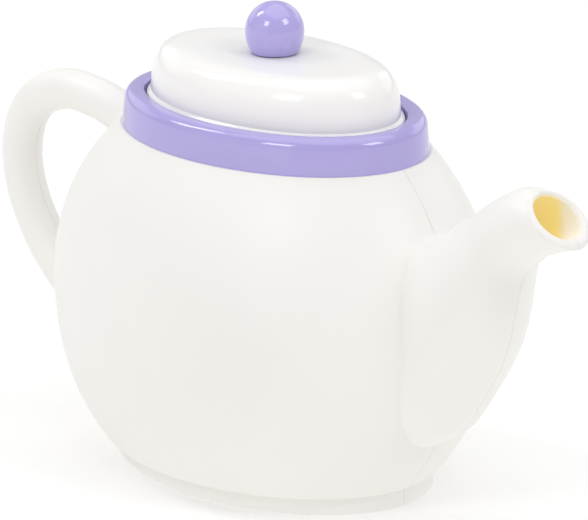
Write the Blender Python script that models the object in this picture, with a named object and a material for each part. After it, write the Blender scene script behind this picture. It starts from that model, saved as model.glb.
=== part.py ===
"""Toy teapot: two moulded half shells held by a collar ring, with a lift-off lid and its knob.

The pot stands on Z = 0 with its spout towards +X, and the half shells meet in the plane Y = 0.
All lengths are in metres. Run it from Blender's text editor, or with blender --background --python part.py
"""

import math

import bmesh
import bpy
from mathutils import Vector

# Body, oval at every level: widest at its middle, round above that, fuller below and hanging over the foot
BODY_HALF_LENGTH = 0.0670
BODY_HALF_WIDTH = 0.0468
BODY_MIDDLE = 0.0462
SHOULDER_RISE = 0.0422
SHOULDER_POWER = 2.0
BASE_OVERHANG = 0.0034
BASE_POWER = 2.3
WALL = 0.0020

# Foot ring, moulded with the body, and the floor set up inside it
FOOT_HALF_LENGTH = 0.0470
FOOT_HALF_WIDTH = 0.0335
FOOT_HEIGHT = 0.0051
FOOT_RIM = 0.0030
FOOT_RECESS = 0.0026

# Collar ring, which snaps over the neck of the two shells
COLLAR_HALF_LENGTH = 0.0463
COLLAR_HALF_WIDTH = 0.0329
COLLAR_HEIGHT = 0.0088
COLLAR_BAND = 0.0066
COLLAR_SKIRT = 0.0026
COLLAR_TOP = 0.0023
COLLAR_FILLET = 0.0024
COLLAR_BORE_EDGE = 0.0004
SHELF_LIP = 0.0004
SNAP_BEAD = 0.0005
SNAP_BEAD_RISE = 0.0008
LEDGE_WIDTH = 0.0030
LEDGE_THICKNESS = 0.0018

# Lid, which rests by its flange on the collar's ledge
LID_HEIGHT = 0.0134
LID_WALL = 0.0018
LID_SINK = 0.0009
LID_FLANGE_WIDTH = 0.0011
LID_FLANGE_THICKNESS = 0.0018
LID_CROWN_HALF_LENGTH = 0.0270
LID_SHOULDER_POWER = 3.25
LID_SKIRT_DEPTH = 0.0060
LID_SKIRT_WALL = 0.0016
LID_CLEARANCE = 0.0006

# Knob, a ball with a flat seat and a snap stem through the lid
KNOB_RADIUS = 0.00755
KNOB_SEAT_DEPTH = 0.00545
KNOB_LOWER_HEIGHT = 0.00925
KNOB_STEM_RADIUS = 0.0022
KNOB_BARB = 0.0006
KNOB_BARB_HEIGHT = 0.0026

# Spout, lofted through ovals. A station gives the lowest and the highest point of an oval, outwards from
# the end of the body and upwards from its middle, and the oval's half width. The first lies inside the body.
SPOUT_STATIONS = (
    ((-0.0200, -0.0312), (-0.0200, 0.0278), 0.0160),
    ((-0.0090, -0.0297), (-0.0100, 0.0306), 0.0170),
    ((0.0025, -0.0170), (-0.0042, 0.0317), 0.0164),
    ((0.0104, -0.0063), (0.0005, 0.0340), 0.0150),
    ((0.0156, 0.0043), (0.0050, 0.0368), 0.0128),
    ((0.0198, 0.0217), (0.0100, 0.0407), 0.0104),
    ((0.0250, 0.0284), (0.0158, 0.0444), 0.0092),
    ((0.0310, 0.0320), (0.0206, 0.0466), 0.0089),
    ((0.0392, 0.0353), (0.0254, 0.0470), 0.0085),
)

# Handle, a round tube along a curve through these points: outwards from the end of the body, and upwards
# from its middle. The first and the last lie inside the body.
HANDLE_POINTS = (
    (-0.0170, 0.0333),
    (-0.0070, 0.0371),
    (0.0018, 0.0388),
    (0.0115, 0.0388),
    (0.0213, 0.0352),
    (0.0276, 0.0286),
    (0.0302, 0.0193),
    (0.0292, 0.0103),
    (0.0252, 0.0013),
    (0.0180, -0.0082),
    (0.0080, -0.0162),
    (-0.0050, -0.0227),
    (-0.0170, -0.0267),
)
HANDLE_RADIUS = 0.0056
HANDLE_PEG_POINTS = (5, 8)

# Pegs on the front shell and sockets in the back one, which line up the halves
PEG_RADIUS = 0.0015
PEG_LENGTH = 0.0030
PEG_END_SPACE = 0.0005
BOSS_RADIUS = 0.0031
BOSS_SINK = 0.0006
BOSS_LENGTH = 0.0060
BOSS_ABOVE_FLOOR = 0.0030

# Clearance between pieces that touch, and how far a cutter runs past what it cuts
GAP = 0.0003
CUT_MARGIN = 0.0040

# Facets
OVAL_SIDES = 56
BODY_ROWS = 6
SHOULDER_ROWS = 6
FILLET_ROWS = 4
SPOUT_SIDES = 20
SPOUT_RINGS_PER_STATION = 2
HANDLE_SIDES = 16
HANDLE_RINGS_PER_POINT = 2
KNOB_SIDES = 24
KNOB_ROWS = 6
PEG_SIDES = 16

WHITE = (0.880, 0.868, 0.845)
LILAC = (0.445, 0.392, 0.730)
ROUGHNESS = 0.22


shelf_half_length = COLLAR_HALF_LENGTH + SHELF_LIP
shelf_half_width = COLLAR_HALF_WIDTH + SHELF_LIP
shelf_level = BODY_MIDDLE + SHOULDER_RISE
floor_level = FOOT_RECESS + WALL

collar_bottom = shelf_level + GAP
collar_top = collar_bottom + COLLAR_HEIGHT
bore_half_length = COLLAR_HALF_LENGTH - COLLAR_BAND
skirt_inside = COLLAR_HALF_LENGTH - COLLAR_SKIRT
neck_half_length = skirt_inside - GAP
neck_bore_half_length = neck_half_length - WALL
channel_top = collar_top - COLLAR_TOP
neck_top = channel_top - GAP
snap_level = (shelf_level + neck_top) / 2
ring_difference = COLLAR_HALF_LENGTH - COLLAR_HALF_WIDTH

flange_top = collar_top - LID_SINK
flange_bottom = flange_top - LID_FLANGE_THICKNESS
ledge_top = flange_bottom - GAP
ledge_bottom = ledge_top - LEDGE_THICKNESS
ledge_half_length = bore_half_length - LEDGE_WIDTH
flange_half_length = bore_half_length - LID_CLEARANCE
lid_half_length = flange_half_length - LID_FLANGE_WIDTH
lid_top = flange_top + LID_HEIGHT
lid_ceiling = lid_top - LID_WALL
plug_half_length = ledge_half_length - LID_CLEARANCE
plug_bottom = flange_bottom - LID_SKIRT_DEPTH

knob_seat = lid_top + GAP
knob_middle = knob_seat + KNOB_SEAT_DEPTH
barb_top = lid_ceiling - GAP


def oval(half_length, half_width, level):
    angles = [2 * math.pi * i / OVAL_SIDES for i in range(OVAL_SIDES)]
    return [Vector((half_length * math.cos(a), half_width * math.sin(a), level)) for a in angles]


def ring_oval(half_length, level):
    """An oval of the neck, collar or lid, which all run parallel to the edge of the shelf."""
    return oval(half_length, half_length - ring_difference, level)


# The body and the space in it, each by the half sizes of its widest, lowest and highest ovals and the levels
# of the last two. The space ends inside the foot below, and under the sloping shoulder above.
OUTSIDE = (
    (BODY_HALF_LENGTH, BODY_HALF_WIDTH),
    (FOOT_HALF_LENGTH + BASE_OVERHANG, FOOT_HALF_WIDTH + BASE_OVERHANG, FOOT_HEIGHT),
    (shelf_half_length, shelf_half_width, shelf_level),
)
INSIDE = (
    (BODY_HALF_LENGTH - WALL, BODY_HALF_WIDTH - WALL),
    (FOOT_HALF_LENGTH - WALL, FOOT_HALF_WIDTH - WALL, floor_level),
    (shelf_half_length - WALL / 2, shelf_half_width - WALL / 2, shelf_level - WALL),
)


def swell(full, end, share, power):
    """A half size at a share of the way from the widest oval to an end oval."""
    return full * (1 - share**power * (1 - (end / full) ** power)) ** (1 / power)


def half_sizes(level, form):
    """Half length and half width at a level of the body or of the space in it."""
    widest, base, shoulder = form
    end, power = (shoulder, SHOULDER_POWER) if level > BODY_MIDDLE else (base, BASE_POWER)
    share = (level - BODY_MIDDLE) / (end[2] - BODY_MIDDLE)
    return [swell(full, size, share, power) for full, size in zip(widest, end)]


def body_rings(form):
    """Ovals up the body or the space in it, closer together towards both ends."""
    low, high = (end[2] - BODY_MIDDLE for end in form[1:])
    turns = [math.pi / 2 * i / BODY_ROWS for i in range(1 - BODY_ROWS, BODY_ROWS)]
    between = [BODY_MIDDLE + math.sin(a) * (high if a > 0 else -low) for a in turns]
    levels = [form[1][2], *between, form[2][2]]
    return [oval(*half_sizes(level, form), level) for level in levels]


def corner_arc(centre, width, height, rows, power=2.0):
    """(half length, level) round a corner, from its side to its top, as a quarter of a superellipse."""
    x, level = centre
    angles = [math.pi / 2 * i / rows for i in range(rows + 1)]
    return [
        (x + width * abs(math.cos(a)) ** (2 / power), level + height * math.sin(a) ** (2 / power))
        for a in angles
    ]


def smooth_curve(points, per_span):
    """Points along a Catmull-Rom curve through the given vectors."""
    padded = [points[0] * 2 - points[1], *points, points[-1] * 2 - points[-2]]
    curve = []
    for before, start, end, after in zip(padded, padded[1:], padded[2:], padded[3:]):
        for i in range(per_span):
            t = i / per_span
            bend = before * 2 - start * 5 + end * 4 - after
            twist = start * 3 - before - end * 3 + after
            curve.append(start + (end - before) * (t / 2) + bend * (t**2 / 2) + twist * (t**3 / 2))
    return [*curve, points[-1]]


def finish(bm, name):
    """A new object from the bmesh, faces outwards, smooth except at its edges."""
    bmesh.ops.recalc_face_normals(bm, faces=bm.faces)
    mesh = bpy.data.meshes.new(name)
    bm.to_mesh(mesh)
    bm.free()
    mesh.shade_smooth()
    mesh.set_sharp_from_angle(angle=math.radians(35))
    obj = bpy.data.objects.new(name, mesh)
    bpy.context.scene.collection.objects.link(obj)
    return obj


def loft(name, rings, closed=False):
    """A solid through rings of points, with flat ends, or closed on itself as a hoop."""
    bm = bmesh.new()
    loops = [[bm.verts.new(point) for point in ring] for ring in rings]
    if closed:
        loops.append(loops[0])
    else:
        bm.faces.new(loops[0])
        bm.faces.new(loops[-1])
    for near, far in zip(loops, loops[1:]):
        for i in range(len(near)):
            bm.faces.new((near[i - 1], near[i], far[i], far[i - 1]))
    return finish(bm, name)


def turned(name, profile, sides):
    """A solid from a profile of (radius, level) that starts and ends on the Z axis."""
    bm = bmesh.new()
    verts = [bm.verts.new((radius, 0, level)) for radius, level in profile]
    edges = [bm.edges.new(pair) for pair in zip(verts, verts[1:])]
    up = (0, 0, 1)
    bmesh.ops.spin(bm, geom=verts + edges, axis=up, angle=2 * math.pi, steps=sides, use_merge=True)
    bmesh.ops.remove_doubles(bm, verts=bm.verts, dist=1e-6)
    return finish(bm, name)


def bars(name, places, radius, near, far):
    """Round bars along Y between two values of Y, at these (X, Z) places."""
    bm = bmesh.new()
    for x, z in places:
        made = bmesh.ops.create_cone(
            bm, cap_ends=True, segments=PEG_SIDES, radius1=radius, radius2=radius, depth=far - near
        )
        for vert in made["verts"]:
            vert.co = Vector((x + vert.co.x, (near + far) / 2 + vert.co.z, z - vert.co.y))
    return finish(bm, name)


def helper(obj):
    obj.hide_render = True
    obj.display_type = "WIRE"
    return obj


def boolean(obj, operation, *others):
    for other in others:
        modifier = obj.modifiers.new(f"{operation.lower()} {other.name}", "BOOLEAN")
        modifier.operation = operation
        modifier.solver = "EXACT"
        modifier.object = other


def plastic(name, colour):
    material = bpy.data.materials.new(name)
    material.use_nodes = True
    shader = material.node_tree.nodes["Principled BSDF"]
    shader.inputs["Base Color"].default_value = (*colour, 1)
    shader.inputs["Roughness"].default_value = ROUGHNESS
    shader.inputs["Metallic"].default_value = 0
    return material


def place(obj, parent, material):
    obj.data.materials.append(material)
    obj.parent = parent


def shell_outside():
    """Foot, body and neck as one solid."""
    rim_outside = (FOOT_HALF_LENGTH, FOOT_HALF_WIDTH)
    rim_inside = (FOOT_HALF_LENGTH - FOOT_RIM, FOOT_HALF_WIDTH - FOOT_RIM)
    foot = [
        (*rim_inside, FOOT_RECESS),
        (*rim_inside, 0),
        (*rim_outside, 0),
        (*rim_outside, FOOT_HEIGHT),
    ]
    neck = [
        (neck_half_length, shelf_level),
        (neck_half_length, snap_level - SNAP_BEAD_RISE),
        (neck_half_length + SNAP_BEAD, snap_level),
        (neck_half_length, snap_level + SNAP_BEAD_RISE),
        (neck_half_length, neck_top),
    ]
    rings = [oval(*sizes) for sizes in foot] + body_rings(OUTSIDE) + [ring_oval(*point) for point in neck]
    return helper(loft("shell_outside", rings))


def shell_cavity():
    """The space inside the body and neck, open at the top."""
    neck = [(neck_bore_half_length, shelf_level - WALL), (neck_bore_half_length, neck_top + CUT_MARGIN)]
    return helper(loft("shell_cavity", body_rings(INSIDE) + [ring_oval(*point) for point in neck]))


def spout_rings(inset):
    """Ovals along the spout, drawn in by this much all round."""
    stations = [Vector((*low, *high, width)) for low, high, width in SPOUT_STATIONS]
    foot_of_spout = Vector((BODY_HALF_LENGTH, 0, BODY_MIDDLE))
    angles = [2 * math.pi * i / SPOUT_SIDES for i in range(SPOUT_SIDES)]
    rings = []
    for low_x, low_z, high_x, high_z, width in smooth_curve(stations, SPOUT_RINGS_PER_STATION):
        low = foot_of_spout + Vector((low_x, 0, low_z))
        high = foot_of_spout + Vector((high_x, 0, high_z))
        upward = (high - low) / 2
        upward -= upward.normalized() * inset
        across = Vector((0, width - inset, 0))
        middle = (low + high) / 2
        rings.append([middle + upward * math.cos(a) + across * math.sin(a) for a in angles])
    return rings


def spout_outside():
    return helper(loft("spout_outside", spout_rings(0)))


def spout_cavity():
    """The channel of the spout, run on out of its mouth."""
    *rings, mouth = spout_rings(WALL)
    out = (mouth[0] - mouth[SPOUT_SIDES // 2]).cross(mouth[SPOUT_SIDES // 4] - mouth[3 * SPOUT_SIDES // 4])
    out = out.normalized() * math.copysign(CUT_MARGIN, out.z)
    return helper(loft("spout_cavity", [*rings, [point + out for point in mouth]]))


def handle_path():
    """Points along the middle of the handle."""
    points = [Vector((-BODY_HALF_LENGTH - out, 0, BODY_MIDDLE + up)) for out, up in HANDLE_POINTS]
    return smooth_curve(points, HANDLE_RINGS_PER_POINT)


def tube(name, path, radius):
    """A round bar that follows a path in the plane Y = 0."""
    angles = [2 * math.pi * i / HANDLE_SIDES for i in range(HANDLE_SIDES)]
    across = Vector((0, radius, 0))
    rings = []
    for i, point in enumerate(path):
        along = path[min(i + 1, len(path) - 1)] - path[max(i - 1, 0)]
        outward = across.cross(along).normalized() * radius
        rings.append([point + outward * math.cos(a) + across * math.sin(a) for a in angles])
    return helper(loft(name, rings))


def clear_of_body(point):
    """True where the hollow of the handle leaves the wall of the body whole."""
    return -point.x > half_sizes(point.z, OUTSIDE)[0] + HANDLE_RADIUS


def peg_places():
    """(X, Z) of the pegs: two in the handle and one low in each end of the body."""
    path = handle_path()
    in_handle = [path[i * HANDLE_RINGS_PER_POINT] for i in HANDLE_PEG_POINTS]
    levels = (floor_level + BOSS_ABOVE_FLOOR, floor_level + BOSS_ABOVE_FLOOR + BOSS_SINK)
    on_wall, above = (Vector((half_sizes(level, INSIDE)[0], level)) for level in levels)
    inward = (above - on_wall).orthogonal().normalized()
    reach, level = on_wall + inward * (BOSS_RADIUS - BOSS_SINK)
    return [(point.x, point.z) for point in in_handle], [(-reach, level), (reach, level)]


def half_space(name, side):
    """A block that holds everything on one side of the parting plane, from half the gap on."""
    size = 4 * (BODY_HALF_LENGTH + BODY_MIDDLE)
    bm = bmesh.new()
    made = bmesh.ops.create_cube(bm, size=size)
    bmesh.ops.translate(bm, verts=made["verts"], vec=(0, side * (size - GAP) / 2, 0))
    return helper(finish(bm, name))


def half_shell(name, cut_away, whole):
    """One half of the pot, cut from the whole outside by the hollows and by the other half's space."""
    obj = bpy.data.objects.new(name, whole["outside"].data.copy())
    bpy.context.scene.collection.objects.link(obj)
    boolean(obj, "UNION", whole["spout"], whole["handle"])
    boolean(obj, "DIFFERENCE", whole["cavity"], whole["spout_cavity"], whole["handle_cavity"])
    boolean(obj, "UNION", whole["handle_bosses"], whole["body_bosses"])
    boolean(obj, "DIFFERENCE", cut_away)
    return obj


def collar_ring():
    """A hoop of inverted U section that grips the neck, with a ledge inside for the lid."""
    corner = (COLLAR_HALF_LENGTH - COLLAR_FILLET, collar_top - COLLAR_FILLET)
    groove = SNAP_BEAD_RISE + GAP
    inner_skirt = neck_bore_half_length - GAP
    section = [
        (COLLAR_HALF_LENGTH, collar_bottom),
        *corner_arc(corner, COLLAR_FILLET, COLLAR_FILLET, FILLET_ROWS),
        (bore_half_length + COLLAR_BORE_EDGE, collar_top),
        (bore_half_length, collar_top - COLLAR_BORE_EDGE),
        (bore_half_length, ledge_top),
        (ledge_half_length, ledge_top),
        (ledge_half_length, ledge_bottom),
        (inner_skirt, ledge_bottom),
        (inner_skirt, channel_top),
        (skirt_inside, channel_top),
        (skirt_inside, snap_level + groove),
        (skirt_inside + SNAP_BEAD, snap_level),
        (skirt_inside, snap_level - groove),
        (skirt_inside, collar_bottom),
    ]
    return loft("collar_ring", [ring_oval(*point) for point in section], closed=True)


def lid():
    """A domed cap with a flange that rests on the ledge and a plug that drops inside it."""
    plug_inside = plug_half_length - LID_SKIRT_WALL
    wall_inside = lid_half_length - LID_WALL
    shoulder_width = lid_half_length - LID_CROWN_HALF_LENGTH
    start = (LID_CROWN_HALF_LENGTH, flange_bottom)
    outside = corner_arc(start, shoulder_width, lid_top - flange_bottom, SHOULDER_ROWS, LID_SHOULDER_POWER)
    inside = corner_arc(
        start, shoulder_width - LID_WALL, lid_ceiling - flange_bottom, SHOULDER_ROWS, LID_SHOULDER_POWER
    )
    section = [
        *reversed(inside[1:]),
        (wall_inside, flange_top),
        (plug_inside, flange_bottom),
        (plug_inside, plug_bottom),
        (plug_half_length, plug_bottom),
        (plug_half_length, flange_bottom),
        (flange_half_length, flange_bottom),
        (flange_half_length, flange_top),
        (lid_half_length, flange_top),
        *outside[1:],
    ]
    obj = loft("lid", [ring_oval(*point) for point in section])
    hole = [(0, lid_ceiling - CUT_MARGIN), (0, lid_top + CUT_MARGIN)]
    radius = KNOB_STEM_RADIUS + GAP
    hole[1:1] = [(radius, level) for _, level in hole]
    boolean(obj, "DIFFERENCE", helper(turned("stem_hole", hole, KNOB_SIDES)))
    return obj


def lid_knob():
    """A ball on a flat seat, with a stem and a tapered barb that snaps in under the lid."""
    seat_angle = math.asin(KNOB_SEAT_DEPTH / KNOB_LOWER_HEIGHT)
    lower = [-seat_angle * (1 - i / KNOB_ROWS) for i in range(KNOB_ROWS)]
    upper = [math.pi / 2 * i / KNOB_ROWS for i in range(KNOB_ROWS)]
    ball = [(KNOB_RADIUS * math.cos(a), knob_middle + KNOB_LOWER_HEIGHT * math.sin(a)) for a in lower]
    ball += [(KNOB_RADIUS * math.cos(a), knob_middle + KNOB_RADIUS * math.sin(a)) for a in upper]
    barb_bottom = barb_top - KNOB_BARB_HEIGHT
    stem = [
        (0, barb_bottom),
        (KNOB_STEM_RADIUS - KNOB_BARB, barb_bottom),
        (KNOB_STEM_RADIUS + KNOB_BARB, barb_top),
        (KNOB_STEM_RADIUS, barb_top),
        (KNOB_STEM_RADIUS, knob_seat),
    ]
    return turned("lid_knob", [*stem, *ball, (0, knob_middle + KNOB_RADIUS)], KNOB_SIDES)


for old in list(bpy.data.objects):
    bpy.data.objects.remove(old)

in_handle, in_body = peg_places()
boss_in_handle = HANDLE_RADIUS - WALL + BOSS_SINK
whole = {
    "outside": shell_outside(),
    "spout": spout_outside(),
    "handle": tube("handle_outside", handle_path(), HANDLE_RADIUS),
    "cavity": shell_cavity(),
    "spout_cavity": spout_cavity(),
    "handle_cavity": tube("handle_cavity", list(filter(clear_of_body, handle_path())), HANDLE_RADIUS - WALL),
    "handle_bosses": helper(bars("handle_bosses", in_handle, BOSS_RADIUS, -boss_in_handle, boss_in_handle)),
    "body_bosses": helper(bars("body_bosses", in_body, BOSS_RADIUS, -BOSS_LENGTH, BOSS_LENGTH)),
}
pegs = helper(bars("pegs", in_handle + in_body, PEG_RADIUS, -PEG_LENGTH, PEG_LENGTH))
socket_end = PEG_LENGTH + PEG_END_SPACE
sockets = helper(bars("sockets", in_handle + in_body, PEG_RADIUS + GAP, -socket_end, socket_end))

# The spout's lip and the handle's bend are the ends of the part, and the origin lies midway below them
ends = [vert.co.x for key in ("spout", "handle") for vert in whole[key].data.vertices]
pot_axis = bpy.data.objects.new("pot_axis", None)
bpy.context.scene.collection.objects.link(pot_axis)
pot_axis.location.x = -(min(ends) + max(ends)) / 2

white_shell = plastic("white_shell_plastic", WHITE)
front = half_shell("front_half_shell", half_space("behind_parting", 1), whole)
boolean(front, "UNION", pegs)
back = half_shell("back_half_shell", half_space("before_parting", -1), whole)
boolean(back, "DIFFERENCE", sockets)
for shell in (front, back):
    place(shell, pot_axis, white_shell)
place(collar_ring(), pot_axis, plastic("lilac_collar_plastic", LILAC))
place(lid(), pot_axis, plastic("white_lid_plastic", WHITE))
place(lid_knob(), pot_axis, plastic("lilac_knob_plastic", LILAC))
for obj in bpy.data.objects:
    if obj.hide_render:
        obj.parent = pot_axis
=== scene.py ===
import math

import bmesh
import bpy
from mathutils import Matrix, Vector


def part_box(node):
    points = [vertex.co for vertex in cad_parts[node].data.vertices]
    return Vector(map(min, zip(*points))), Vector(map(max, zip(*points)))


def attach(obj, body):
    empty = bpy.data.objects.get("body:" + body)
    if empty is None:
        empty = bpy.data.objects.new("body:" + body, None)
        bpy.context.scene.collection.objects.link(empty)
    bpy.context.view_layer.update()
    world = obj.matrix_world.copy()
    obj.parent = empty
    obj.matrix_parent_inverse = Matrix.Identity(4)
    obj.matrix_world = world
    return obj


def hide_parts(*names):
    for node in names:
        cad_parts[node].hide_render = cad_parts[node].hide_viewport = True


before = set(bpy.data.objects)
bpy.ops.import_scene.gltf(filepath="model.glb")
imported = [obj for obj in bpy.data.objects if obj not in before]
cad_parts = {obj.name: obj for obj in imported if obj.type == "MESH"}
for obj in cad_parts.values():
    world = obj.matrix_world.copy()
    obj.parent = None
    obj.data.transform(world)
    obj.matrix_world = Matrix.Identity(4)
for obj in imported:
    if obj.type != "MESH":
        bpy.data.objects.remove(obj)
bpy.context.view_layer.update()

# The two half shells: body, foot, spout and handle of the pot, moulded in glossy warm white plastic.
# One wall runs from the body out along the spout, round its lip and back inside. The handle is joined on,
# and the whole is parted down the middle into a front and a back moulding.
collar_low, collar_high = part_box("collar_ring")
pot_axis = Vector(((collar_low.x + collar_high.x) / 2, 0, 0))

BODY_HALF_LENGTH = 0.0670
BODY_HALF_WIDTH = 0.0468
BODY_MIDDLE = 0.0462
WALL = 0.0020
# Half length, half width and level of the body's upper and lower edge, and how full its sides are
SHOULDER = (0.0461, 0.0327, 0.0884)
BASE = (0.0504, 0.0369, 0.0051)
SHOULDER_POWER = 2.0
BASE_POWER = 2.3
# The spout's end of the body is a little flatter than an oval. Below its middle and above it, these are
# the depth, the share of the curve at which it starts, and a power that shifts its deepest place. Then
# come the powers of its curve up the end and across it.
FLAT_BELOW = (0.0035, 0.16, 0.75)
FLAT_ABOVE = (0.0017, 0.0, 1.35)
FLAT_FULLNESS = 0.8
FLAT_SPREAD = 0.4
# The ring on the body that the spout grows out of
ROOT_HALF_WIDTH = 0.0165
ROOT_HALF_HEIGHT = 0.0275
ROOT_MIDDLE = 0.0465
ROOT_POWER = 2.3
ROOT_FILLET = 0.0005
# Lowest and highest point of each oval along the spout, and its half width
SPOUT_RINGS = (
    ((0.0668, 0.0245), (0.0622, 0.0757), 0.0164),
    ((0.0774, 0.0399), (0.0673, 0.0797), 0.0150),
    ((0.0826, 0.0505), (0.0720, 0.0830), 0.0128),
    ((0.0868, 0.0679), (0.0770, 0.0869), 0.0104),
    ((0.0920, 0.0746), (0.0828, 0.0906), 0.0092),
    ((0.0980, 0.0782), (0.0876, 0.0928), 0.0089),
)
MOUTH = ((0.1062, 0.0815), (0.0924, 0.0932), 0.0085)
MOUTH_BORE = ((0.1038, 0.0835), (0.0934, 0.0923), 0.0064)
LIP = 0.0010
# How finely the wall is drawn: round each ring, along each end of the body, and along the spout and its lip
RING_SIDES = 160
HANDLE_END_ROWS = 34
SPOUT_END_ROWS = 34
ROOT_STEPS = (0.4, 0.7, 1.0)
SPOUT_STEPS = (0.2, 0.4, 0.6, 0.8, 1.0)
LIP_ROWS = 8
# Keeps a share or a width from falling to nothing
SMALLEST = 1e-4
# Material slots of the outer and the inner wall
OUTSIDE, INSIDE = 0, 1
ring_angles = [2 * math.pi * i / RING_SIDES for i in range(RING_SIDES)]


def midplane(place):
    """A point of the plane in which the shells meet, from how far out and how high it is."""
    return Vector((place[0], 0, place[1]))


def ring_points(middle, upward, across):
    return [middle + upward * math.cos(a) + across * math.sin(a) for a in ring_angles]


def ring_edges(bm, ring):
    return [bm.edges.get((ring[i - 1], ring[i])) for i in range(len(ring))]


def close_ring(bm, ring):
    bmesh.ops.edgeloop_fill(bm, edges=ring_edges(bm, ring))


def first_ring(bm, points):
    ring = bmesh.ops.create_circle(bm, segments=len(points), radius=1)["verts"]
    for vert, point in zip(ring, points):
        vert.co = point
    return ring


def next_ring(bm, ring, points):
    """Extrudes the rim to a ring of points, and gives the new rim in the same order."""
    made = bmesh.ops.extrude_edge_only(bm, edges=ring_edges(bm, ring))["geom"]
    fresh = {item for item in made if isinstance(item, bmesh.types.BMVert)}
    rim = [next(e.other_vert(v) for e in v.link_edges if e.other_vert(v) in fresh) for v in ring]
    for vert, point in zip(rim, points):
        vert.co = point
    return rim


def next_rings(bm, ring, rows):
    """Extrudes the rim through one ring of points after another, and gives the last rim."""
    for points in rows:
        ring = next_ring(bm, ring, points)
    return ring


def as_object(bm, name):
    """Ends a bmesh and puts it in the scene as an object."""
    mesh = bpy.data.meshes.new(name)
    bm.to_mesh(mesh)
    bm.free()
    made = bpy.data.objects.new(name, mesh)
    bpy.context.scene.collection.objects.link(made)
    return made


def combine(target, operation, other):
    """Joins, cuts or trims an object with another one by a modifier."""
    step = target.modifiers.new(other.name, "BOOLEAN")
    step.operation, step.solver, step.object = operation, "MANIFOLD", other


def between(before, start, end, after, t):
    """A point of the smooth curve through four points, between the middle two."""
    bend = before * 2 - start * 5 + end * 4 - after
    twist = start * 3 - before - end * 3 + after
    return start + (end - before) * (t / 2) + bend * (t**2 / 2) + twist * (t**3 / 2)


def half_sizes(level, inset=0.0):
    """Half length and half width of the body at a level, drawn in by inset."""
    end, power = (SHOULDER, SHOULDER_POWER) if level > BODY_MIDDLE else (BASE, BASE_POWER)
    share = (level - BODY_MIDDLE) / (end[2] - BODY_MIDDLE)
    sizes = []
    for full, part in zip((BODY_HALF_LENGTH, BODY_HALF_WIDTH), end):
        left = 1 - share**power * (1 - (part / full) ** power)
        sizes.append(full * max(left, SMALLEST) ** (1 / power) - inset)
    return sizes


def rounded(turn, power):
    """Up and across of a point on a unit oval, at a turn from its top."""
    up, across = math.cos(turn), math.sin(turn)
    return [math.copysign(abs(part) ** (2 / power), part) for part in (up, across)]


def outline(turn, inset):
    """A point of the outline that the body shows to someone who looks along it."""
    end, power = (SHOULDER, SHOULDER_POWER) if math.cos(turn) > 0 else (BASE, BASE_POWER)
    reach = abs(end[2] - BODY_MIDDLE) / (1 - (end[1] / BODY_HALF_WIDTH) ** power) ** (1 / power) - inset
    up, across = rounded(turn, power)
    return Vector((0, (BODY_HALF_WIDTH - inset) * across, BODY_MIDDLE + reach * up))


def on_body(point, inset, side):
    """Moves a point along the body until it lies on its wall, at the spout's or the handle's end."""
    length, width = half_sizes(point.z, inset)
    nearness = max(1 - (point.y / max(width, SMALLEST)) ** 2, 0)
    reach = length * math.sqrt(nearness)
    if side > 0:
        low, high = (BASE[2], BODY_MIDDLE) if point.z < BODY_MIDDLE else (BODY_MIDDLE, SHOULDER[2])
        depth, start, skew = FLAT_BELOW if point.z < BODY_MIDDLE else FLAT_ABOVE
        share = min(max((point.z - low) / (high - low), 0), 1)
        share = start + (1 - start) * share**skew
        reach -= depth * max(math.sin(math.pi * share), 0) ** FLAT_FULLNESS * nearness**FLAT_SPREAD
    return Vector((side * reach, point.y, point.z))


def body_rings(inset):
    """Rings along the body from its handle end to the root of the spout, drawn in by inset."""
    middle = Vector((0, 0, BODY_MIDDLE))
    rim = [outline(a, inset) for a in ring_angles]
    root = []
    for a in ring_angles:
        up, across = rounded(a, ROOT_POWER)
        root.append(
            Vector((0, (ROOT_HALF_WIDTH - inset) * across, ROOT_MIDDLE + (ROOT_HALF_HEIGHT - inset) * up))
        )
    rings = []
    for i in range(1, HANDLE_END_ROWS + 1):
        share = math.sin(math.pi / 2 * i / HANDLE_END_ROWS)
        rings.append([on_body(middle.lerp(p, share), inset, -1) for p in rim])
    for i in range(1, SPOUT_END_ROWS + 1):
        share = 1 - math.cos(math.pi / 2 * i / SPOUT_END_ROWS)
        rings.append([on_body(p.lerp(q, share), inset, 1) for p, q in zip(rim, root)])
    return rings


mouth_low, mouth_high = midplane(MOUTH[0]), midplane(MOUTH[1])
mouth_normal = Vector((0, 1, 0)).cross(mouth_high - mouth_low).normalized()


def spout_rings(root, inset, mouth):
    """Rings from the root of the spout, drawn in by inset, to just short of a mouth."""
    stations = [root]
    for (low, high, width), drawn_in in [*((oval, inset) for oval in SPOUT_RINGS), (mouth, 0)]:
        low, high = midplane(low), midplane(high)
        upward = (high - low) / 2
        upward -= upward.normalized() * drawn_in
        stations.append(ring_points((low + high) / 2, upward, Vector((0, width - drawn_in, 0))))
    stations[-1] = [p - mouth_normal * LIP for p in stations[-1]]
    stations.insert(0, [a * 2 - b for a, b in zip(stations[0], stations[1])])
    stations.append([a * 2 - b for a, b in zip(stations[-1], stations[-2])])
    rings = []
    for span, four in enumerate(zip(stations, stations[1:], stations[2:], stations[3:])):
        steps = ROOT_STEPS if span == 0 else SPOUT_STEPS
        rings += [[between(*corners, t) for corners in zip(*four)] for t in steps]
    return rings


bm = bmesh.new()
outer_body = body_rings(0)
ring = first_ring(bm, outer_body[0])
close_ring(bm, ring)
root_ring = next_rings(bm, ring, outer_body[1:])
outer_spout = spout_rings(outer_body[-1], 0, MOUTH)
ring = next_rings(bm, root_ring, outer_spout)

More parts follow.
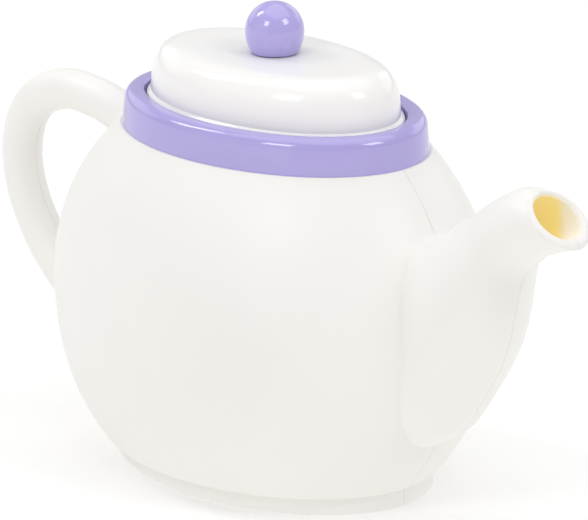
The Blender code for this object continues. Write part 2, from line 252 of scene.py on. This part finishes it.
# The lip turns over in a half circle, and its crest touches the plane of the mouth
inner_body = body_rings(WALL)
inner_spout = spout_rings(inner_body[-1], WALL, MOUTH_BORE)
for i in range(1, LIP_ROWS):
    turned = math.pi * i / LIP_ROWS
    share = (1 - math.cos(turned)) / 2
    crest = mouth_normal * (LIP * math.sin(turned))
    ring = next_ring(bm, ring, [o.lerp(n, share) + crest for o, n in zip(outer_spout[-1], inner_spout[-1])])
outer_faces = set(bm.faces)
ring = next_rings(bm, ring, [*reversed(inner_spout), *reversed(inner_body)])
close_ring(bm, ring)
for face in bm.faces:
    face.material_index = OUTSIDE if face in outer_faces else INSIDE


def round_edges(bm, edges, radius, segments):
    bmesh.ops.bevel(
        bm,
        geom=edges,
        offset=radius,
        segments=segments,
        profile=0.5,
        affect="EDGES",
        material=-1,
        clamp_overlap=True,
    )


round_edges(bm, ring_edges(bm, root_ring), ROOT_FILLET, segments=4)

# On top the spout runs into the shoulder in a smooth saddle
SADDLE_REACH = 0.0065
SADDLE_ROUNDS = 12
saddle_middle = outer_body[-1][0]
outer_verts = {v for f in outer_faces if f.is_valid for v in f.verts}
saddle = [v for v in outer_verts if (v.co - saddle_middle).length < SADDLE_REACH]
for i in range(SADDLE_ROUNDS):
    bmesh.ops.smooth_vert(bm, verts=saddle, factor=0.5, use_axis_x=True, use_axis_z=True)

# The body is cut off level for the neck above and the foot below, and both are drawn out of the cut rims.
# What lies further out than the spout's start isn't cut.
SPOUT_START = 0.058
NECK = (0.0434, 0.0300)
NECK_TOP = 0.0949
FOOT = (0.0470, 0.0335)
FOOT_RIM = 0.0030
FOOT_RECESS = 0.0026
FLOOR = FOOT_RECESS + WALL
BASE_EDGE = 0.0020
FOOT_TOP_EDGE = 0.0006
FOOT_EDGE = 0.0004
SAME_LEVEL = 1e-5


def cut_level(bm, wall, level, up):
    """Cuts off the outer or inner wall above or below a level, and gives the edges of the new rim."""
    faces = [f for f in bm.faces if f.material_index == wall and f.calc_center_median().x < SPOUT_START]
    bmesh.ops.bisect_plane(
        bm,
        geom=list({item for f in faces for item in (f, *f.edges, *f.verts)}),
        dist=1e-7,
        plane_co=(0, 0, level),
        plane_no=(0, 0, 1),
        clear_outer=up,
        clear_inner=not up,
    )
    return [e for e in bm.edges if e.is_boundary and all(abs(v.co.z - level) < SAME_LEVEL for v in e.verts)]


def draw_rim(bm, edges, sizes=None, rise=0.0):
    """Extrudes a rim, draws it onto an oval of these half sizes or lifts it, and gives the new rim."""
    made = bmesh.ops.extrude_edge_only(bm, edges=edges)["geom"]
    for vert in (item for item in made if isinstance(item, bmesh.types.BMVert)):
        if sizes:
            vert.co.xy /= math.hypot(vert.co.x / sizes[0], vert.co.y / sizes[1])
        vert.co.z += rise
    return [item for item in made if isinstance(item, bmesh.types.BMEdge)]


shelf = cut_level(bm, OUTSIDE, SHOULDER[2], True)
under_shelf = cut_level(bm, INSIDE, SHOULDER[2] - WALL, True)
rim = draw_rim(bm, shelf, NECK)
rim = draw_rim(bm, rim, rise=NECK_TOP - SHOULDER[2])
rim = draw_rim(bm, rim, [size - WALL for size in NECK])
rim = draw_rim(bm, rim, rise=SHOULDER[2] - WALL - NECK_TOP)
bmesh.ops.bridge_loops(bm, edges=rim + under_shelf)

well_edge = cut_level(bm, INSIDE, BASE[2] + WALL, False)
rim = draw_rim(bm, well_edge, [size - WALL for size in FOOT])
rim = draw_rim(bm, rim, rise=FLOOR - BASE[2] - WALL)
for face in bmesh.ops.edgeloop_fill(bm, edges=rim)["faces"]:
    face.material_index = INSIDE
base_edge = cut_level(bm, OUTSIDE, BASE[2], False)
foot_top = draw_rim(bm, base_edge, FOOT)
foot_edge = draw_rim(bm, foot_top, rise=-BASE[2])
rim = draw_rim(bm, foot_edge, [size - FOOT_RIM for size in FOOT])
rim = draw_rim(bm, rim, rise=FOOT_RECESS)
bmesh.ops.edgeloop_fill(bm, edges=rim)
round_edges(bm, base_edge, BASE_EDGE, segments=6)
round_edges(bm, foot_top, FOOT_TOP_EDGE, segments=3)
round_edges(bm, foot_edge, FOOT_EDGE, segments=3)
bmesh.ops.recalc_face_normals(bm, faces=bm.faces)
pot_wall = as_object(bm, "pot_wall")

# The handle is a round bar bent to a loop, with its ends spread where they grow out of the body.
# It is drawn some way into the body, with more rings near its ends, where it spreads.
HANDLE_RADIUS = 0.00545
HANDLE_FILLET = 0.0024
HANDLE_DEPTH = 0.0060
HANDLE_SIDES = 40
HANDLE_STEPS = 24
HANDLE_RING_STEPS = 4
HANDLE_END_RINGS = 24
HANDLE_POINTS = (
    (-0.0500, 0.0795),
    (-0.0600, 0.0833),
    (-0.0688, 0.0850),
    (-0.0785, 0.0850),
    (-0.0883, 0.0814),
    (-0.0946, 0.0748),
    (-0.0972, 0.0655),
    (-0.0962, 0.0565),
    (-0.0922, 0.0475),
    (-0.0850, 0.0380),
    (-0.0750, 0.0300),
    (-0.0620, 0.0235),
    (-0.0500, 0.0195),
)


def off_body(point):
    """Distance of a point from the outside of the body, and the direction away from it."""

    def beyond(place):
        length, width = half_sizes(place.z)
        return math.hypot(place.x / length, place.y / width) - 1

    here, step = beyond(point), 1e-5
    ways = (Vector((step, 0, 0)), Vector((0, step, 0)), Vector((0, 0, step)))
    slope = Vector([(beyond(point + way) - here) / step for way in ways])
    return here / slope.length, slope.normalized()


knots = [midplane(place) for place in HANDLE_POINTS]
knots = [knots[0] * 2 - knots[1], *knots, knots[-1] * 2 - knots[-2]]
path = [
    between(*four, i / HANDLE_STEPS)
    for four in zip(knots, knots[1:], knots[2:], knots[3:])
    for i in range(HANDLE_STEPS)
]
path = [p for p in path if off_body(p)[0] > -HANDLE_DEPTH]
handle_angles = [2 * math.pi * i / HANDLE_SIDES for i in range(HANDLE_SIDES)]
last = len(path) - 1
bm = bmesh.new()
ring = None
for i in range(last + 1):
    if i % HANDLE_RING_STEPS and min(i, last - i) >= HANDLE_END_RINGS:
        continue
    along = (path[min(i + 1, last)] - path[max(i - 1, 0)]).normalized()
    across = Vector((0, HANDLE_RADIUS, 0))
    outward = across.cross(along)
    points = []
    for a in handle_angles:
        spoke = outward * math.cos(a) + across * math.sin(a)
        point = path[i] + spoke
        far, away = off_body(point)
        far = min(max(far, 0), HANDLE_FILLET)
        spread = HANDLE_FILLET - math.sqrt(HANDLE_FILLET**2 - (HANDLE_FILLET - far) ** 2)
        side = spoke.normalized() - away * spoke.normalized().dot(away)
        points.append(point + side * spread)
    ring = next_ring(bm, ring, points) if ring else first_ring(bm, points)
    if i in (0, last):
        close_ring(bm, ring)
bmesh.ops.recalc_face_normals(bm, faces=bm.faces)
handle_bar = as_object(bm, "handle_bar")

# The bar stops halfway through the wall, so nothing of it shows inside the pot
core_rings = body_rings(WALL / 2)
bm = bmesh.new()
ring = first_ring(bm, core_rings[0])
close_ring(bm, ring)
ring = next_rings(bm, ring, core_rings[1:])
close_ring(bm, ring)
bmesh.ops.recalc_face_normals(bm, faces=bm.faces)
pot_core = as_object(bm, "pot_core")
combine(handle_bar, "DIFFERENCE", pot_core)
combine(pot_wall, "UNION", handle_bar)
bpy.context.view_layer.update()
whole_pot = bpy.data.meshes.new_from_object(pot_wall.evaluated_get(bpy.context.evaluated_depsgraph_get()))
for helper in (pot_wall, handle_bar, pot_core):
    bpy.data.objects.remove(helper)

SHARP_FROM = math.radians(32)


def finish_piece(bm, name, body, slot, materials, *nodes):
    """Makes the bmesh a piece that rides on a body and stands for CAD nodes."""
    bmesh.ops.translate(bm, vec=pot_axis, verts=bm.verts)
    bmesh.ops.recalc_face_normals(bm, faces=bm.faces)
    piece = as_object(bm, name)
    piece.data.shade_smooth()
    piece.data.set_sharp_from_angle(angle=SHARP_FROM)
    for material in materials:
        piece.data.materials.append(material)
    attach(piece, body)
    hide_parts(*nodes)


def set_inputs(node, values):
    for socket, value in values.items():
        node.inputs[socket].default_value = value


def link_up(tree, pairs):
    for start, end in pairs:
        tree.links.new(start, end)


# The skin of moulded plastic: two close colours that flow into each other, a haze over its roughness,
# and a surface that is a very little uneven
skin = bpy.data.node_groups.new("moulded_plastic_skin", "ShaderNodeTree")
for way, sockets in (
    ("INPUT", (("Colour", "Color"), ("Flow Colour", "Color"), ("Roughness", "Float"))),
    ("OUTPUT", (("Colour", "Color"), ("Roughness", "Float"), ("Normal", "Vector"))),
):
    for name, kind in sockets:
        skin.interface.new_socket(name, in_out=way, socket_type="NodeSocket" + kind)
given = skin.nodes.new("NodeGroupInput")
result = skin.nodes.new("NodeGroupOutput")
place = skin.nodes.new("ShaderNodeTexCoord")
flow = skin.nodes.new("ShaderNodeTexNoise")
set_inputs(flow, {"Scale": 26, "Detail": 3, "Distortion": 0.6})
tint = skin.nodes.new("ShaderNodeMix")
tint.data_type = "RGBA"
haze = skin.nodes.new("ShaderNodeTexNoise")
set_inputs(haze, {"Scale": 70, "Detail": 5})
uneven_haze = skin.nodes.new("ShaderNodeMapRange")
set_inputs(uneven_haze, {"From Min": 0.3, "From Max": 0.7, "To Min": -0.025, "To Max": 0.025})
rough = skin.nodes.new("ShaderNodeMath")
peel = skin.nodes.new("ShaderNodeTexNoise")
set_inputs(peel, {"Scale": 420, "Detail": 2})
bump = skin.nodes.new("ShaderNodeBump")
set_inputs(bump, {"Strength": 0.06, "Distance": 0.00004})
link_up(
    skin,
    (
        (place.outputs["Object"], flow.inputs["Vector"]),
        (place.outputs["Object"], haze.inputs["Vector"]),
        (place.outputs["Object"], peel.inputs["Vector"]),
        (flow.outputs["Fac"], tint.inputs["Factor"]),
        (given.outputs["Colour"], tint.inputs["A"]),
        (given.outputs["Flow Colour"], tint.inputs["B"]),
        (haze.outputs["Fac"], uneven_haze.inputs["Value"]),
        (given.outputs["Roughness"], rough.inputs[0]),
        (uneven_haze.outputs["Result"], rough.inputs[1]),
        (peel.outputs["Fac"], bump.inputs["Height"]),
        (tint.outputs["Result"], result.inputs["Colour"]),
        (rough.outputs["Value"], result.inputs["Roughness"]),
        (bump.outputs["Normal"], result.inputs["Normal"]),
    ),
)


def moulded(name, colour, flow_colour, roughness, shine):
    """A moulded plastic with that skin, of its own two colours, roughness and shine."""
    material = bpy.data.materials.new(name)
    material.use_nodes = True
    shader = material.node_tree.nodes["Principled BSDF"]
    surface = material.node_tree.nodes.new("ShaderNodeGroup")
    surface.node_tree = skin
    set_inputs(surface, {"Colour": (*colour, 1), "Flow Colour": (*flow_colour, 1), "Roughness": roughness})
    set_inputs(shader, {"Specular IOR Level": shine})
    link_up(
        material.node_tree,
        (
            (surface.outputs["Colour"], shader.inputs["Base Color"]),
            (surface.outputs["Roughness"], shader.inputs["Roughness"]),
            (surface.outputs["Normal"], shader.inputs["Normal"]),
        ),
    )
    return material


white = moulded(
    "white_shell_plastic", (0.893, 0.880, 0.857), (0.882, 0.867, 0.840), roughness=0.36, shine=0.22
)

# Painted glow and painted shade: an emission and a yellow base colour stand in for light that comes through
# the thin wall, so the inside of the spout glows from white at the lip to yellow further in, on the side
# that lies in shade. The glow starts and is full so deep below the mouth's plane.
LIP_COLOUR = (0.90, 0.90, 0.90)
DEEP_PAINTED_YELLOW = (0.84, 0.745, 0.46)
LIP_GLOW = (0.072, 0.070, 0.066)
DEEP_GLOW = (0.237, 0.194, 0.068)
GLOW_STARTS = 0.0006
GLOW_IS_FULL = 0.0021
SHADED_SIDE = Vector((0.70, 0.71, 0))
SHADE_EDGE = 0.0044
SHADE_BLUR = 0.0008
INNER_SPOUT_STARTS = 0.064
INNER_SPOUT_IS_FULL = 0.080
inside = moulded("shell_inside_plastic", LIP_COLOUR, LIP_COLOUR, roughness=0.30, shine=0.30)
nodes = inside.node_tree.nodes
shader = nodes["Principled BSDF"]
set_inputs(shader, {"Emission Strength": 1})


def along_way(nodes, way):
    """How far a point lies along a way."""
    distance = nodes.new("ShaderNodeVectorMath")
    distance.operation = "DOT_PRODUCT"
    distance.inputs[1].default_value = way
    return distance


def mask(nodes, none_at, full_at):
    """A mask that grows from none at one value to full at another."""
    growing = nodes.new("ShaderNodeMapRange")
    set_inputs(growing, {"From Min": none_at, "From Max": full_at})
    return growing


def product(nodes):
    both = nodes.new("ShaderNodeMath")
    both.operation = "MULTIPLY"
    return both


def lip_to_deep(nodes, lip_colour, deep_colour):
    ramp = nodes.new("ShaderNodeValToRGB")
    ramp.color_ramp.elements[0].color = (*lip_colour, 1)
    ramp.color_ramp.elements[1].color = (*deep_colour, 1)
    return ramp


place = nodes.new("ShaderNodeTexCoord")
mouth_level = (mouth_low + pot_axis).dot(mouth_normal)
depth = along_way(nodes, mouth_normal)
into_mouth = mask(nodes, mouth_level - GLOW_STARTS, mouth_level - GLOW_IS_FULL)
shade_middle = (mouth_low + pot_axis).dot(SHADED_SIDE) - SHADE_EDGE
sideways = along_way(nodes, SHADED_SIDE)
shaded = mask(nodes, shade_middle + SHADE_BLUR, shade_middle - SHADE_BLUR)
apart = nodes.new("ShaderNodeSeparateXYZ")
in_spout = mask(nodes, INNER_SPOUT_STARTS + pot_axis.x, INNER_SPOUT_IS_FULL + pot_axis.x)
in_shade, yellow = product(nodes), product(nodes)
# Painted glow: where the spout's inside lies in shade, the base colour turns yellow and the wall gives off
# warm light of its own, standing in for light through the wall
painted_glow_colour = lip_to_deep(nodes, LIP_COLOUR, DEEP_PAINTED_YELLOW)
through = lip_to_deep(nodes, LIP_GLOW, DEEP_GLOW)
link_up(
    inside.node_tree,
    (
        (place.outputs["Object"], depth.inputs[0]),
        (place.outputs["Object"], sideways.inputs[0]),
        (place.outputs["Object"], apart.inputs["Vector"]),
        (depth.outputs["Value"], into_mouth.inputs["Value"]),
        (sideways.outputs["Value"], shaded.inputs["Value"]),
        (apart.outputs["X"], in_spout.inputs["Value"]),
        (into_mouth.outputs["Result"], in_shade.inputs[0]),
        (shaded.outputs["Result"], in_shade.inputs[1]),
        (in_shade.outputs["Value"], yellow.inputs[0]),
        (in_spout.outputs["Result"], yellow.inputs[1]),
        (yellow.outputs["Value"], painted_glow_colour.inputs["Fac"]),
        (yellow.outputs["Value"], through.inputs["Fac"]),
        (painted_glow_colour.outputs["Color"], shader.inputs["Base Color"]),
        (through.outputs["Color"], shader.inputs["Emission Color"]),
    ),
)

# The pot is parted with a fine gap between the halves, each kept by a block on its side of the middle
SEAM_GAP = 0.00008
KEEP_SIZE = 0.4
for name, side, node in (("front_shell", -1, "front_half_shell"), ("back_shell", 1, "back_half_shell")):
    bm = bmesh.new()
    bmesh.ops.create_cube(bm, size=KEEP_SIZE)
    bmesh.ops.translate(bm, vec=(0, side * (KEEP_SIZE + SEAM_GAP) / 2, 0), verts=bm.verts)
    keep = as_object(bm, "keep")
    pot = bpy.data.objects.new("pot", whole_pot)
    bpy.context.scene.collection.objects.link(pot)
    combine(pot, "INTERSECT", keep)
    bpy.context.view_layer.update()
    bm = bmesh.new()
    bm.from_object(pot, bpy.context.evaluated_depsgraph_get())
    for helper in (keep, pot):
        bpy.data.objects.remove(helper)
    finish_piece(bm, name, "pot", "shell_white", [white, inside], node)

# The collar ring: an oval band moulded in lilac plastic that snaps down over the necks of both shells.
# A channel underneath takes the necks, and a ledge inside its bore carries the lid. Its edges are rounded.
RING_DIFFERENCE = 0.0134
COLLAR_SIDES = 168
COLLAR_ROUND = 0.0024
BORE_EDGE = 0.0005
LEDGE_EDGE = 0.0004
# Half length and level of each corner of its section, from the outer foot over the top and back underneath
COLLAR_SECTION = (
    (0.0455, 0.08842),
    (0.0447, 0.0975),
    (0.0397, 0.0975),
    (0.0397, 0.0945),
    (0.0367, 0.0945),
    (0.0367, 0.0927),
    (0.0411, 0.0927),
    (0.0411, 0.0952),
    (0.0437, 0.0952),
    (0.0437, 0.08842),
)


def oval(half_length, level):
    """Points round an oval ring, whose length is always the same amount more than its width."""
    return [
        Vector((half_length * math.cos(a), (half_length - RING_DIFFERENCE) * math.sin(a), level))
        for a in (2 * math.pi * i / COLLAR_SIDES for i in range(COLLAR_SIDES))
    ]


bm = bmesh.new()
rings = [first_ring(bm, oval(*COLLAR_SECTION[0]))]
for corner in COLLAR_SECTION[1:]:
    rings.append(next_ring(bm, rings[-1], oval(*corner)))
foot_ring, top_edge, bore_top, _, ledge_edge, *_, neck_side = rings
bmesh.ops.bridge_loops(bm, edges=ring_edges(bm, foot_ring) + ring_edges(bm, neck_side))
round_edges(bm, ring_edges(bm, top_edge), COLLAR_ROUND, segments=8)
round_edges(bm, ring_edges(bm, bore_top), BORE_EDGE, segments=3)
round_edges(bm, ring_edges(bm, ledge_edge), LEDGE_EDGE, segments=3)
lilac = moulded(
    "lilac_collar_plastic", (0.424, 0.371, 0.738), (0.412, 0.358, 0.724), roughness=0.10, shine=0.85
)
finish_piece(bm, "collar", "pot", "collar_lilac", [lilac], "collar_ring")

# The lid: a flat-topped oval dome moulded in the same white plastic, hollow and open below.
# It rests on the collar's ledge by a thin flange, and a plug under the flange keeps it in the bore.
LID_TOP = 0.1100
LID_THICKNESS = 0.0018
CROWN_HALF_LENGTH = 0.0270
DOME_HALF_LENGTH = 0.0380
DOME_POWER = 3.25
DOME_ROWS = 26
FLANGE_HALF_LENGTH = 0.0391
FLANGE_TOP = 0.0966
FLANGE_BOTTOM = 0.0948
FLANGE_EDGE = 0.0004
PLUG_HALF_LENGTH = 0.0361
PLUG_BOTTOM = 0.0888
PLUG_WALL = 0.0016


def dome(drawn_in):
    """Rings from the edge of the flat crown down the shoulder to the flange, drawn in by a wall."""
    rings = []
    for i in range(DOME_ROWS):
        up, out = rounded(math.pi / 2 * i / DOME_ROWS, DOME_POWER)
        level = FLANGE_BOTTOM + (LID_TOP - drawn_in - FLANGE_BOTTOM) * up
        half_length = CROWN_HALF_LENGTH + (DOME_HALF_LENGTH - drawn_in - CROWN_HALF_LENGTH) * out
        rings.append(oval(half_length, max(level, FLANGE_TOP)))
        if level < FLANGE_TOP:
            break
    return rings


bm = bmesh.new()
outside = dome(0)
ring = first_ring(bm, outside[0])
close_ring(bm, ring)
ring = next_rings(bm, ring, outside[1:])
flange_edge = next_ring(bm, ring, oval(FLANGE_HALF_LENGTH, FLANGE_TOP))
ring = next_ring(bm, flange_edge, oval(FLANGE_HALF_LENGTH, FLANGE_BOTTOM))
ring = next_ring(bm, ring, oval(PLUG_HALF_LENGTH, FLANGE_BOTTOM))
plug_edge = next_ring(bm, ring, oval(PLUG_HALF_LENGTH, PLUG_BOTTOM))
ring = next_ring(bm, plug_edge, oval(PLUG_HALF_LENGTH - PLUG_WALL, PLUG_BOTTOM))
ring = next_ring(bm, ring, oval(PLUG_HALF_LENGTH - PLUG_WALL, FLANGE_BOTTOM))
ring = next_rings(bm, ring, reversed(dome(LID_THICKNESS)))
close_ring(bm, ring)
round_edges(bm, ring_edges(bm, flange_edge) + ring_edges(bm, plug_edge), FLANGE_EDGE, segments=3)
lid_white = moulded(
    "white_lid_plastic", (0.914, 0.906, 0.893), (0.904, 0.894, 0.878), roughness=0.14, shine=0.42
)
finish_piece(bm, "lid_dome", "lid", "lid_white", [lid_white], "lid")

# The knob: a ball moulded in lilac plastic, drawn out a little below and cut flat where it sits on the lid.
# A stem under it snaps through a hole in the lid and holds it on.
KNOB_RADIUS = 0.00755
KNOB_LOWER = 0.00925
KNOB_MIDDLE = 0.11575
KNOB_SEAT = 0.1103
KNOB_ROWS = 40
KNOB_SIDES = 72
STEM_RADIUS = 0.0022
STEM_END = 0.1053
profile = []
lowest = -math.asin((KNOB_MIDDLE - KNOB_SEAT) / KNOB_LOWER)
for i in range(KNOB_ROWS + 1):
    a = math.pi / 2 + (lowest - math.pi / 2) * i / KNOB_ROWS
    height = KNOB_RADIUS if a > 0 else KNOB_LOWER
    profile.append((KNOB_RADIUS * math.cos(a), KNOB_MIDDLE + height * math.sin(a)))
profile += [(STEM_RADIUS, KNOB_SEAT), (STEM_RADIUS, STEM_END), (0, STEM_END)]
bm = bmesh.new()
verts = [bm.verts.new(midplane(place)) for place in profile]
edges = [bm.edges.new(pair) for pair in zip(verts, verts[1:])]
bmesh.ops.spin(
    bm,
    geom=verts + edges,
    angle=2 * math.pi,
    steps=KNOB_SIDES,
    axis=(0, 0, 1),
    cent=(0, 0, 0),
    use_merge=True,
)
bmesh.ops.remove_doubles(bm, verts=bm.verts, dist=1e-7)
knob_lilac = moulded(
    "lilac_knob_plastic", (0.448, 0.392, 0.775), (0.436, 0.378, 0.760), roughness=0.09, shine=0.85
)
finish_piece(bm, "ball_knob", "lid", "knob_lilac", [knob_lilac], "lid_knob")

# The floor: a wide sheet of white paper, which keeps the pot's shadow and fades to plain white further off.
# The light that it throws back on the pot is set apart, a little dimmer and warmer.
FLOOR_HALF_SIZE = 12
FADE_STARTS = 0.35
FADE_IS_FULL = 0.80
bm = bmesh.new()
bmesh.ops.create_grid(bm, x_segments=1, y_segments=1, size=FLOOR_HALF_SIZE)
floor_plane = as_object(bm, "floor")
paper = bpy.data.materials.new("floor_paper")
paper.use_nodes = True
nodes = paper.node_tree.nodes
nodes.remove(nodes["Principled BSDF"])


def lit_paper(tree, grey, glow_colour, glow):
    """Grey paper that also glows by itself."""
    plain = tree.nodes.new("ShaderNodeBsdfDiffuse")
    set_inputs(plain, {"Color": (grey, grey, grey, 1)})
    bright = tree.nodes.new("ShaderNodeEmission")
    set_inputs(bright, {"Color": (*glow_colour, 1), "Strength": glow})
    both = tree.nodes.new("ShaderNodeAddShader")
    link_up(tree, ((plain.outputs["BSDF"], both.inputs[0]), (bright.outputs["Emission"], both.inputs[1])))
    return both


seen_near = lit_paper(paper.node_tree, grey=0.84, glow_colour=(1, 1, 1), glow=0.16)
thrown_back = lit_paper(paper.node_tree, grey=0.30, glow_colour=(1, 0.98, 0.95), glow=0.79)
seen_far = nodes.new("ShaderNodeEmission")
place = nodes.new("ShaderNodeTexCoord")
distance = nodes.new("ShaderNodeVectorMath")
distance.operation = "LENGTH"
fading = mask(nodes, FADE_STARTS, FADE_IS_FULL)
fade = nodes.new("ShaderNodeMixShader")
light_path = nodes.new("ShaderNodeLightPath")
choose = nodes.new("ShaderNodeMixShader")
link_up(
    paper.node_tree,
    (
        (place.outputs["Object"], distance.inputs[0]),
        (distance.outputs["Value"], fading.inputs["Value"]),
        (fading.outputs["Result"], fade.inputs[0]),
        (seen_near.outputs["Shader"], fade.inputs[1]),
        (seen_far.outputs["Emission"], fade.inputs[2]),
        (light_path.outputs["Is Diffuse Ray"], choose.inputs[0]),
        (fade.outputs["Shader"], choose.inputs[1]),
        (thrown_back.outputs["Shader"], choose.inputs[2]),
        (choose.outputs["Shader"], nodes["Material Output"].inputs["Surface"]),
    ),
)
floor_plane.data.materials.append(paper)

# The studio: white surroundings, softboxes and weaker panels, all at one distance from the pot, and a camera
# with a long lens that looks down on it a little, from the spout's side.
WORLD_STRENGTH = 0.51
LAMP_DISTANCE = 1.3
LAMP_AIM = 0.06
scene = bpy.context.scene
scene.view_settings.view_transform = "Standard"
world = bpy.data.worlds.new("studio")
scene.world = world
world.use_nodes = True
set_inputs(world.node_tree.nodes["Background"], {"Color": (1, 1, 1, 1), "Strength": WORLD_STRENGTH})

for name, toward, width, height, power in (
    ("front_softbox", (0.10, -0.78, 0.62), 0.37, 0.37, 2.4),
    ("right_softbox", (0.73, 0.15, 0.66), 0.42, 0.42, 2.8),
    ("left_softbox", (-0.64, -0.25, 0.73), 0.26, 0.44, 2.2),
    ("left_panel", (-0.94, 0.08, 0.33), 1.0, 0.5, 1.0),
    ("front_panel", (-0.20, -0.95, 0.24), 1.6, 0.8, 1.1),
    ("back_panel", (-0.12, 0.94, 0.33), 1.0, 0.5, 1.2),
    ("top_softbox", (0, 0.15, 1), 1.6, 1.6, 6.7),
):
    light = bpy.data.lights.new(name, "AREA")
    light.shape = "RECTANGLE"
    light.size, light.size_y, light.energy = width, height, power
    lamp = bpy.data.objects.new(name, light)
    scene.collection.objects.link(lamp)
    toward = Vector(toward).normalized()
    lamp.matrix_world = (
        Matrix.Translation(pot_axis + Vector((0, 0, LAMP_AIM)) + toward * LAMP_DISTANCE)
        @ toward.to_track_quat("Z", "Y").to_matrix().to_4x4()
    )

CAMERA_TURN = math.radians(45.655)
CAMERA_RISE = math.radians(17.209)
CAMERA_DISTANCE = 1.380
AIM_HEIGHT = 0.05483
AIM_ASIDE = 0.00488
SENSOR_WIDTH = 36
# Focal length and picture width, both in pixels
FOCAL_LENGTH = 5380.08
PICTURE_WIDTH = 588
back = Vector(
    (
        math.sin(CAMERA_TURN) * math.cos(CAMERA_RISE),
        -math.cos(CAMERA_TURN) * math.cos(CAMERA_RISE),
        math.sin(CAMERA_RISE),
    )
)
right = Vector((math.cos(CAMERA_TURN), math.sin(CAMERA_TURN), 0))
up = back.cross(right)
target = pot_axis + Vector((0, 0, AIM_HEIGHT)) + right * AIM_ASIDE
camera = bpy.data.cameras.new("camera")
camera.sensor_fit = "HORIZONTAL"
camera.sensor_width = SENSOR_WIDTH
camera.lens = SENSOR_WIDTH * FOCAL_LENGTH / PICTURE_WIDTH
viewer = bpy.data.objects.new("camera", camera)
scene.collection.objects.link(viewer)
turn = Matrix((right, up, back)).transposed().to_4x4()
viewer.matrix_world = Matrix.Translation(target + back * CAMERA_DISTANCE) @ turn
scene.camera = viewer
